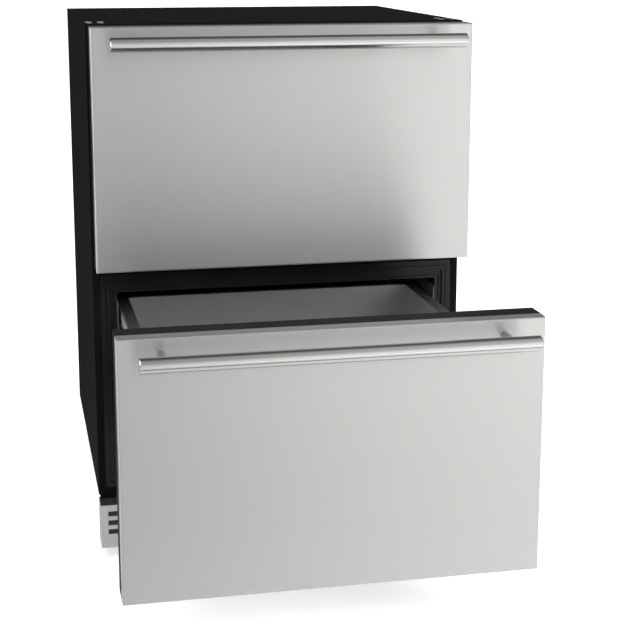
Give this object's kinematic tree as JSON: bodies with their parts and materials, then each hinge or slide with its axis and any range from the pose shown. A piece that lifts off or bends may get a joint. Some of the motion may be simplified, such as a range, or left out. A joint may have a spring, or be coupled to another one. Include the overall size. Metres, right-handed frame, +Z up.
{
  "type": "undercounter drawer refrigerator",
  "caption": "Undercounter refrigerator with stacked stainless drawers on telescopic slides, bar handles, a dark insulated cabinet, a slotted kick plate and levelling legs.",
  "frame": {"origin": "on the floor, at the centre of the whole footprint with the lower drawer pulled out and both handles included", "axes": "+X to the right seen from the front, +Y from the drawer fronts to the back, +Z up"},
  "size_m": [0.607, 1.0446, 0.8678],
  "materials": {
    "case_paint": "dark grey powder coat, fine texture",
    "zinc_sheet": "galvanised sheet, faint spangle",
    "stainless": "stainless sheet, horizontal grain",
    "handle_steel": "stainless tube, satin polish",
    "drawer_steel": "grey coated sheet, satin",
    "bright_zinc": "bright zinc plate",
    "leg_steel": "black coated steel",
    "black_liner": "black vacuum-formed sheet, satin",
    "black_trim": "dark moulded trim, satin",
    "black_plastic": "black moulding, fine texture",
    "grey_plastic": "light grey moulding",
    "rubber": "black rubber",
    "filter_foam": "dark open-cell mat, coarse",
    "foam": "cream rigid foam",
    "copper": "bare copper tube",
    "coil_steel": "black coated fins and tube",
    "coil_aluminium": "bare aluminium fins",
    "compressor_paint": "black enamel",
    "light_lens": "white translucent lens"
  },
  "bodies": {
    "cabinet": {"outer_wrapper": "case_paint", "rear_panel": "zinc_sheet", "machine_cover": "zinc_sheet", "base_pan": "case_paint", "wall_insulation": "foam", "upper_liner": "black_liner", "lower_liner": "black_liner", "mullion_bar": "case_paint", "upper_trim_frame": "black_trim", "lower_trim_frame": "black_trim", "kick_plate": "stainless", "filter_mat": "filter_foam", "top_inserts": "bright_zinc", "cover_screws": "bright_zinc", "compressor": "compressor_paint", "compressor_mounts": "rubber", "condenser_coil": "coil_steel", "condenser_fan_frame": "black_plastic", "evaporator_coil": "coil_aluminium", "evaporator_cover": "grey_plastic", "evaporator_fan_frame": "black_plastic", "refrigerant_lines": "copper", "condensate_pan": "black_plastic", "thermostat_housing": "grey_plastic", "interior_lights": "light_lens", "power_inlet": "black_plastic", "upper_slide_rails": "bright_zinc", "lower_slide_rails": "bright_zinc"},
    "upper_drawer": {"upper_front_skin": "stainless", "upper_front_foam": "foam", "upper_front_pan": "black_plastic", "upper_gasket": "rubber", "upper_handle_bar": "handle_steel", "upper_handle_posts": "handle_steel", "upper_handle_screws": "bright_zinc", "upper_drawer_left_side": "drawer_steel", "upper_drawer_right_side": "drawer_steel", "upper_drawer_tray": "drawer_steel", "upper_slide_runners": "bright_zinc"},
    "lower_drawer": {"lower_front_skin": "stainless", "lower_front_foam": "foam", "lower_front_pan": "black_plastic", "lower_gasket": "rubber", "lower_handle_bar": "handle_steel", "lower_handle_posts": "handle_steel", "lower_handle_screws": "bright_zinc", "lower_drawer_left_side": "drawer_steel", "lower_drawer_right_side": "drawer_steel", "lower_drawer_tray": "drawer_steel", "lower_slide_runners": "bright_zinc"},
    "upper_slide_middle": {"upper_slide_middles": "bright_zinc"},
    "lower_slide_middle": {"lower_slide_middles": "bright_zinc"},
    "levelling_leg_front_left": {"leg_front_left": "leg_steel"},
    "levelling_leg_front_right": {"leg_front_right": "leg_steel"},
    "levelling_leg_rear_left": {"leg_rear_left": "leg_steel"},
    "levelling_leg_rear_right": {"leg_rear_right": "leg_steel"},
    "condenser_fan": {"condenser_fan_blade": "black_plastic"},
    "evaporator_fan": {"evaporator_fan_blade": "grey_plastic"},
    "temperature_dial": {"temperature_knob": "black_plastic"}
  },
  "joints": [
    {"name": "upper_drawer_slide", "type": "slide", "parent": "cabinet", "child": "upper_drawer", "axis": [0, -1, 0], "range_m": [0, 0.43]},
    {"name": "lower_drawer_slide", "type": "slide", "parent": "cabinet", "child": "lower_drawer", "axis": [0, -1, 0], "range_m": [-0.3558, 0.0742]},
    {"name": "upper_middle_slide", "type": "slide", "parent": "cabinet", "child": "upper_slide_middle", "axis": [0, -1, 0], "range_m": [0, 0.215]},
    {"name": "lower_middle_slide", "type": "slide", "parent": "cabinet", "child": "lower_slide_middle", "axis": [0, -1, 0], "range_m": [-0.1779, 0.0371]},
    {"name": "front_left_leg_screw", "type": "hinge", "parent": "cabinet", "child": "levelling_leg_front_left", "pos_m": [-0.255, 0.0043, 0], "axis": [0, 0, 1], "continuous": true},
    {"name": "front_right_leg_screw", "type": "hinge", "parent": "cabinet", "child": "levelling_leg_front_right", "pos_m": [0.255, 0.0043, 0], "axis": [0, 0, 1], "continuous": true},
    {"name": "rear_left_leg_screw", "type": "hinge", "parent": "cabinet", "child": "levelling_leg_rear_left", "pos_m": [-0.255, 0.4753, 0], "axis": [0, 0, 1], "continuous": true},
    {"name": "rear_right_leg_screw", "type": "hinge", "parent": "cabinet", "child": "levelling_leg_rear_right", "pos_m": [0.255, 0.4753, 0], "axis": [0, 0, 1], "continuous": true},
    {"name": "condenser_fan_shaft", "type": "hinge", "parent": "cabinet", "child": "condenser_fan", "pos_m": [-0.165, 0.4068, 0.185], "axis": [1, 0, 0], "continuous": true},
    {"name": "evaporator_fan_shaft", "type": "hinge", "parent": "cabinet", "child": "evaporator_fan", "pos_m": [0, 0.434, 0.759], "axis": [0, 1, 0], "continuous": true},
    {"name": "temperature_knob_turn", "type": "hinge", "parent": "cabinet", "child": "temperature_dial", "pos_m": [0.034, -0.028, 0.817], "axis": [0, 1, 0], "range_deg": [-135, 135]}
  ],
  "couplings": [
    {"joint": "upper_middle_slide", "follows": "upper_drawer_slide", "ratio": 0.5},
    {"joint": "lower_middle_slide", "follows": "lower_drawer_slide", "ratio": 0.5}
  ]
}
